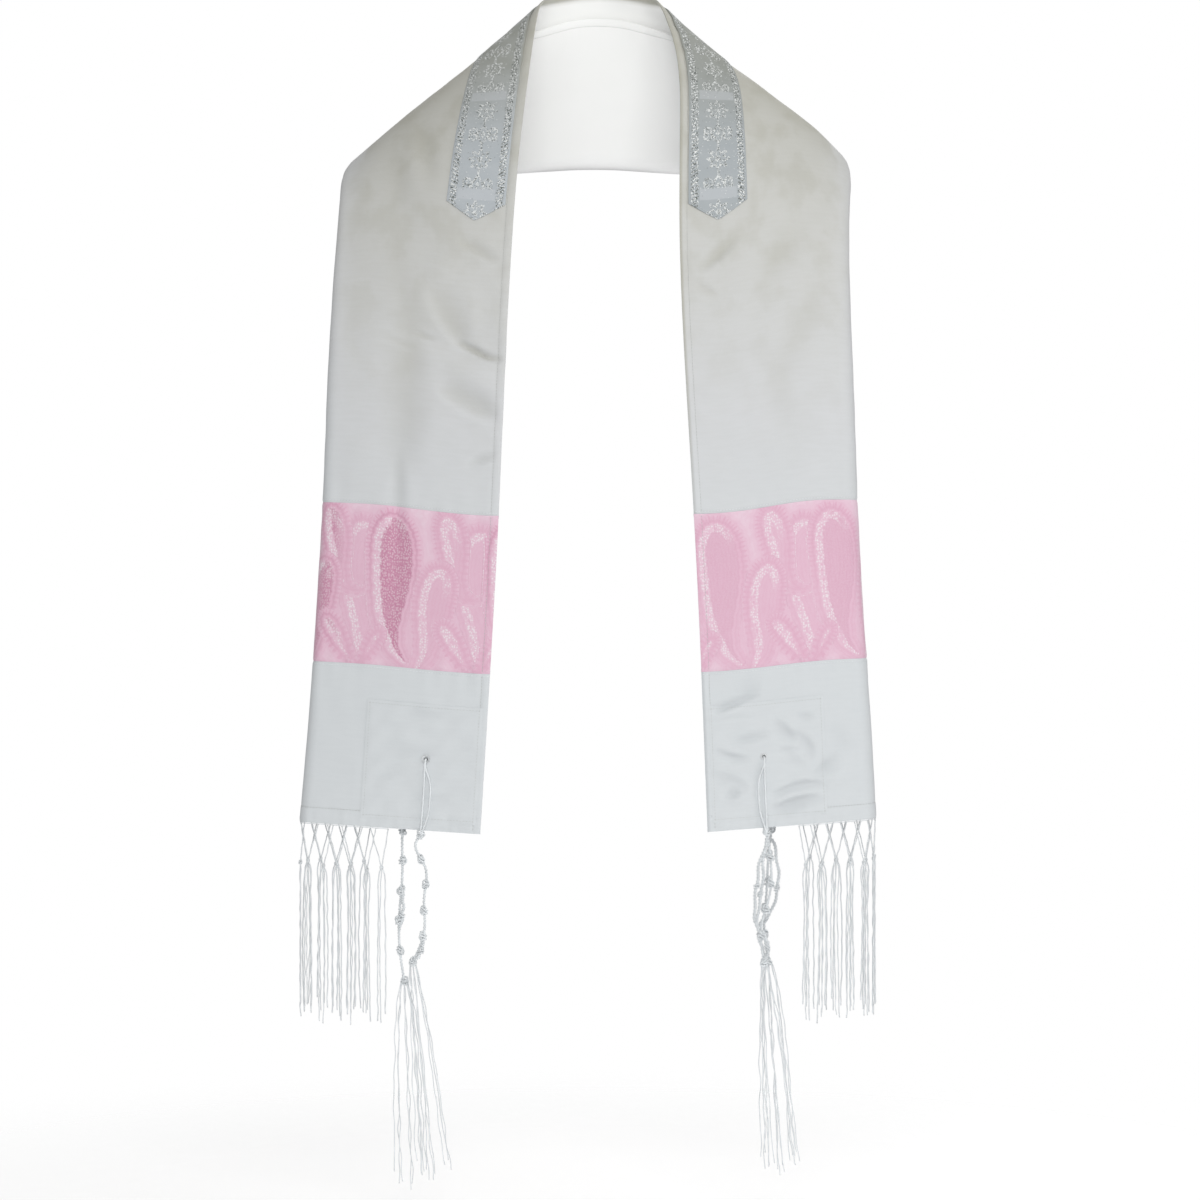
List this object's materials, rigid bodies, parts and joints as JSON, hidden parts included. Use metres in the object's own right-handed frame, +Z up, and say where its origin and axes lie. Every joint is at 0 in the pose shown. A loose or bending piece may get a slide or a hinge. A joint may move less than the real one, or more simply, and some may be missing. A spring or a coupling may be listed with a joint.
{
  "type": "tallit prayer shawl, worn round the neck",
  "caption": "Satin prayer shawl folded lengthwise and worn as a scarf, with a brocade neckband, brocade bands, corner patches, knotted fringe and corner tassels.",
  "frame": {"origin": "midway between the two neck edges, at the height where they cross the shoulders, which is where the wearer's neck stands", "axes": "+Z up along the wearer's neck, the fronts face -Y, +X to the right as seen from the front"},
  "size_m": [0.5261, 0.2168, 1.1138],
  "materials": {
    "satin": "ivory satin, smooth, with a soft sheen along its folds",
    "pink_brocade": "pink jacquard in a paisley pattern, satin figures on a matt ground",
    "silver_brocade": "silver-grey brocade with glittering metallic thread",
    "threads": "white twisted threads, matt"
  },
  "bodies": {
    "root": {"shawl_body": "satin", "atara": "silver_brocade", "band_left": "pink_brocade", "band_right": "pink_brocade", "end_left": "satin", "end_right": "satin", "patch_left_front": "satin", "patch_left_rear": "satin", "patch_right_front": "satin", "patch_right_rear": "satin", "fringe_left": "threads", "fringe_right": "threads", "tassel_left_front": "threads", "tassel_left_rear": "threads", "tassel_right_front": "threads", "tassel_right_rear": "threads"}
  },
  "joints": []
}
